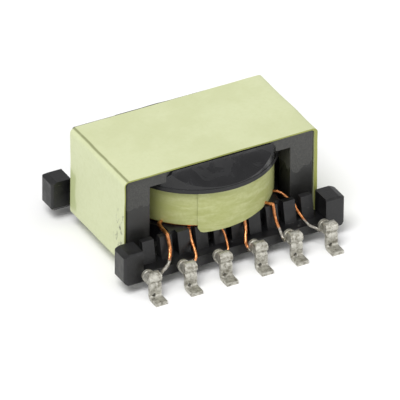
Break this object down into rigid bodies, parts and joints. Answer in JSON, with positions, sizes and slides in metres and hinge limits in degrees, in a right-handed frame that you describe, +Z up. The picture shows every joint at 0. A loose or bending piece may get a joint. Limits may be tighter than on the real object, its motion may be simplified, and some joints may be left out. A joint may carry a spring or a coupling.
{
  "type": "surface-mount power transformer",
  "caption": "Low-profile ferrite transformer with a taped core, a round winding on a coil former, and gull-wing terminals in two rows for soldering to a board.",
  "frame": {"origin": "on the seating plane of the feet, under the centre of the core", "axes": "+X along the terminal rows; -Y towards the row whose winding tape ends in a low corner; +Z up, away from the board"},
  "size_m": [0.0126, 0.012, 0.0057],
  "materials": {
    "ferrite": "ground, slightly grainy",
    "bobbin_plastic": "moulded phenolic, satin",
    "core_tape": "thin polyester tape, satin",
    "winding_tape": "thin polyester tape, satin",
    "copper": "enamelled wire",
    "tin": "tinned, mottled",
    "solder": "dull solder",
    "resin": "poured epoxy"
  },
  "bodies": {
    "root": {"upper_core": "ferrite", "lower_core": "ferrite", "bobbin": "bobbin_plastic", "coil": "copper", "coil_tape": "winding_tape", "core_tape": "core_tape", "resin_front": "resin", "resin_rear": "resin", "terminal_1": "tin", "solder_1": "solder", "lead_1": "copper", "terminal_2": "tin", "solder_2": "solder", "lead_2": "copper", "terminal_3": "tin", "solder_3": "solder", "lead_3": "copper", "terminal_4": "tin", "solder_4": "solder", "lead_4": "copper", "terminal_5": "tin", "solder_5": "solder", "lead_5": "copper", "terminal_6": "tin", "solder_6": "solder", "lead_6": "copper", "terminal_7": "tin", "solder_7": "solder", "lead_7": "copper", "terminal_8": "tin", "solder_8": "solder", "lead_8": "copper", "terminal_9": "tin", "solder_9": "solder", "lead_9": "copper", "terminal_10": "tin", "solder_10": "solder", "lead_10": "copper", "terminal_11": "tin", "solder_11": "solder", "lead_11": "copper", "terminal_12": "tin", "solder_12": "solder", "lead_12": "copper"}
  },
  "joints": []
}
